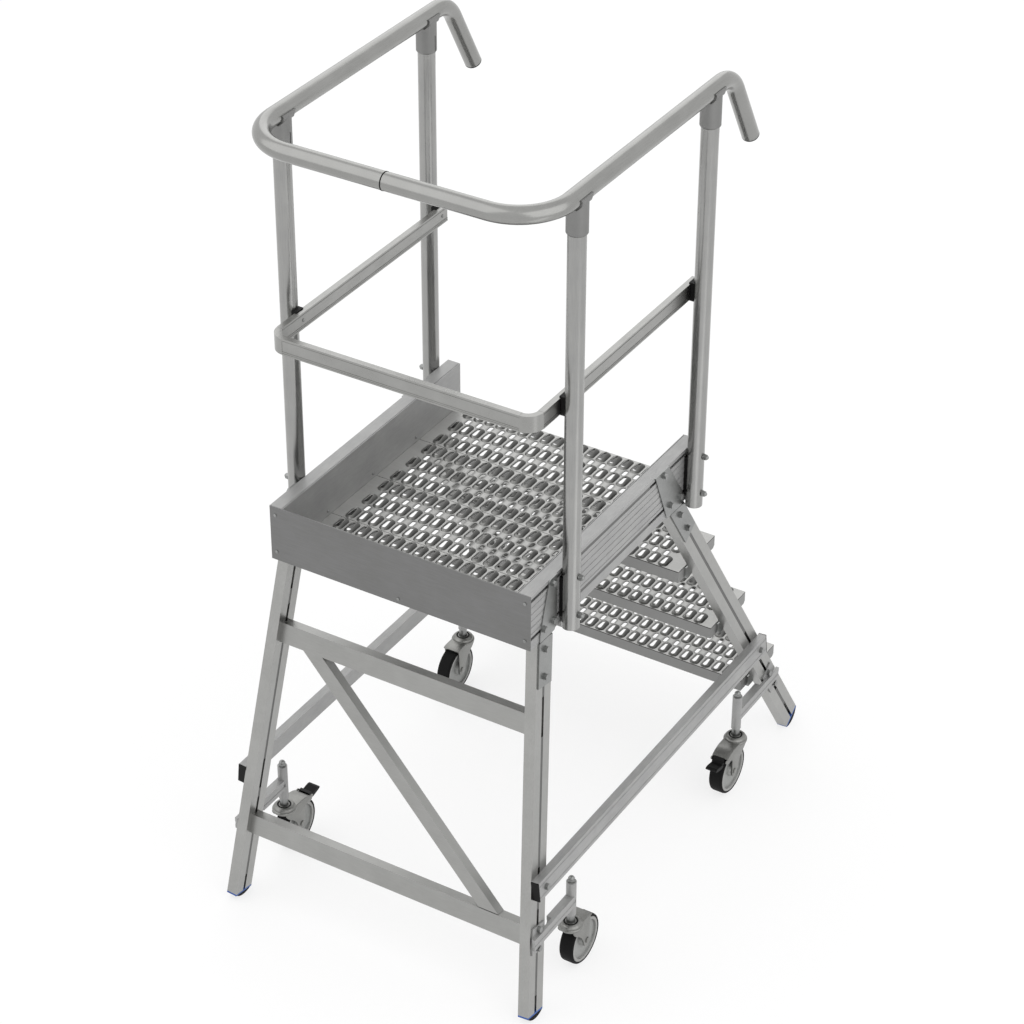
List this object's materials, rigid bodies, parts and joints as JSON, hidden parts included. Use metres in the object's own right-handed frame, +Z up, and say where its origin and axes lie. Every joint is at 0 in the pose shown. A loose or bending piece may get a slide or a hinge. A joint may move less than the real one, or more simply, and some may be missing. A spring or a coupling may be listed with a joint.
{
  "type": "podium step",
  "caption": "Mobile aluminium podium step with perforated treads and platform, guardrails, splayed legs and sprung castors.",
  "frame": {"origin": "centre of the base on the floor", "axes": "+Z up, -Y out of the closed end with the kick plate, +Y down the treads, +X to the right seen from the closed end"},
  "size_m": [0.86, 1.3426, 1.9933],
  "materials": {
    "aluminium": "mill finish, satin",
    "perforated_sheet": "mill finish, satin",
    "dark_sheet": "dark, satin",
    "zinc_steel": "zinc plated",
    "black_plastic": "matte",
    "blue_plastic": "matte",
    "rubber": "matte"
  },
  "bodies": {
    "frame": {"side_rail_left": "aluminium", "side_rail_right": "aluminium", "slot_covers": "aluminium", "kick_plate": "dark_sheet", "deck_screws": "zinc_steel", "platform_plank_1": "perforated_sheet", "platform_plank_2": "perforated_sheet", "platform_plank_3": "perforated_sheet", "platform_plank_4": "perforated_sheet", "handrail_left": "aluminium", "handrail_right": "aluminium", "handrail_fittings": "black_plastic", "post_near_left": "aluminium", "post_near_right": "aluminium", "post_far_left": "aluminium", "post_far_right": "aluminium", "tee_clamps": "aluminium", "knee_rail": "aluminium", "knee_clips": "black_plastic", "post_pads": "black_plastic", "post_bolts": "zinc_steel", "gussets_near": "zinc_steel", "gussets_far": "zinc_steel", "frame_bolts": "zinc_steel", "leg_left": "aluminium", "leg_right": "aluminium", "upper_beam": "aluminium", "lower_beam": "aluminium", "diagonal_brace": "aluminium", "stile_left": "aluminium", "stile_right": "aluminium", "tread_1": "perforated_sheet", "tread_2": "perforated_sheet", "tread_3": "perforated_sheet", "tread_brackets": "zinc_steel", "struts": "aluminium", "strut_caps": "black_plastic", "foot_plugs": "blue_plastic", "foot_soles": "rubber", "castor_arms": "aluminium", "arm_bolts": "zinc_steel"},
    "stem_near_left_body": {"stem_near_left": "zinc_steel"},
    "fork_near_left_body": {"fork_near_left": "zinc_steel"},
    "wheel_near_left_body": {"hub_near_left": "zinc_steel", "tyre_near_left": "rubber"},
    "pedal_near_left_body": {"pedal_near_left": "black_plastic"},
    "stem_near_right_body": {"stem_near_right": "zinc_steel"},
    "fork_near_right_body": {"fork_near_right": "zinc_steel"},
    "wheel_near_right_body": {"hub_near_right": "zinc_steel", "tyre_near_right": "rubber"},
    "stem_far_left_body": {"stem_far_left": "zinc_steel"},
    "fork_far_left_body": {"fork_far_left": "zinc_steel"},
    "wheel_far_left_body": {"hub_far_left": "zinc_steel", "tyre_far_left": "rubber"},
    "stem_far_right_body": {"stem_far_right": "zinc_steel"},
    "fork_far_right_body": {"fork_far_right": "zinc_steel"},
    "wheel_far_right_body": {"hub_far_right": "zinc_steel", "tyre_far_right": "rubber"},
    "pedal_far_right_body": {"pedal_far_right": "black_plastic"}
  },
  "joints": [
    {"name": "near_left_spring", "type": "slide", "parent": "frame", "child": "stem_near_left_body", "axis": [0, 0, 1], "range_m": [0, 0.015], "stiffness_N_per_m": 3000, "springref_m": -0.01},
    {"name": "near_left_swivel", "type": "hinge", "parent": "stem_near_left_body", "child": "fork_near_left_body", "pos_m": [-0.40003, -0.45174, 0.14], "axis": [0, 0, 1], "continuous": true},
    {"name": "near_left_roll", "type": "hinge", "parent": "fork_near_left_body", "child": "wheel_near_left_body", "pos_m": [-0.40003, -0.41174, 0.0625], "axis": [1, 0, 0], "continuous": true},
    {"name": "near_left_brake", "type": "hinge", "parent": "fork_near_left_body", "child": "pedal_near_left_body", "pos_m": [-0.40003, -0.36174, 0.1105], "axis": [-1, 0, 0], "range_deg": [0, 8]},
    {"name": "near_right_spring", "type": "slide", "parent": "frame", "child": "stem_near_right_body", "axis": [0, 0, 1], "range_m": [0, 0.015], "stiffness_N_per_m": 3000, "springref_m": -0.01},
    {"name": "near_right_swivel", "type": "hinge", "parent": "stem_near_right_body", "child": "fork_near_right_body", "pos_m": [0.40003, -0.45174, 0.14], "axis": [0, 0, 1], "continuous": true},
    {"name": "near_right_roll", "type": "hinge", "parent": "fork_near_right_body", "child": "wheel_near_right_body", "pos_m": [0.40003, -0.41174, 0.0625], "axis": [1, 0, 0], "continuous": true},
    {"name": "far_left_spring", "type": "slide", "parent": "frame", "child": "stem_far_left_body", "axis": [0, 0, 1], "range_m": [0, 0.015], "stiffness_N_per_m": 3000, "springref_m": -0.01},
    {"name": "far_left_swivel", "type": "hinge", "parent": "stem_far_left_body", "child": "fork_far_left_body", "pos_m": [-0.40003, 0.35838, 0.14], "axis": [0, 0, 1], "continuous": true},
    {"name": "far_left_roll", "type": "hinge", "parent": "fork_far_left_body", "child": "wheel_far_left_body", "pos_m": [-0.40003, 0.31838, 0.0625], "axis": [1, 0, 0], "continuous": true},
    {"name": "far_right_spring", "type": "slide", "parent": "frame", "child": "stem_far_right_body", "axis": [0, 0, 1], "range_m": [0, 0.015], "stiffness_N_per_m": 3000, "springref_m": -0.01},
    {"name": "far_right_swivel", "type": "hinge", "parent": "stem_far_right_body", "child": "fork_far_right_body", "pos_m": [0.40003, 0.35838, 0.14], "axis": [0, 0, 1], "continuous": true},
    {"name": "far_right_roll", "type": "hinge", "parent": "fork_far_right_body", "child": "wheel_far_right_body", "pos_m": [0.40003, 0.31838, 0.0625], "axis": [1, 0, 0], "continuous": true},
    {"name": "far_right_brake", "type": "hinge", "parent": "fork_far_right_body", "child": "pedal_far_right_body", "pos_m": [0.40003, 0.26838, 0.1105], "axis": [1, 0, 0], "range_deg": [0, 8]}
  ]
}
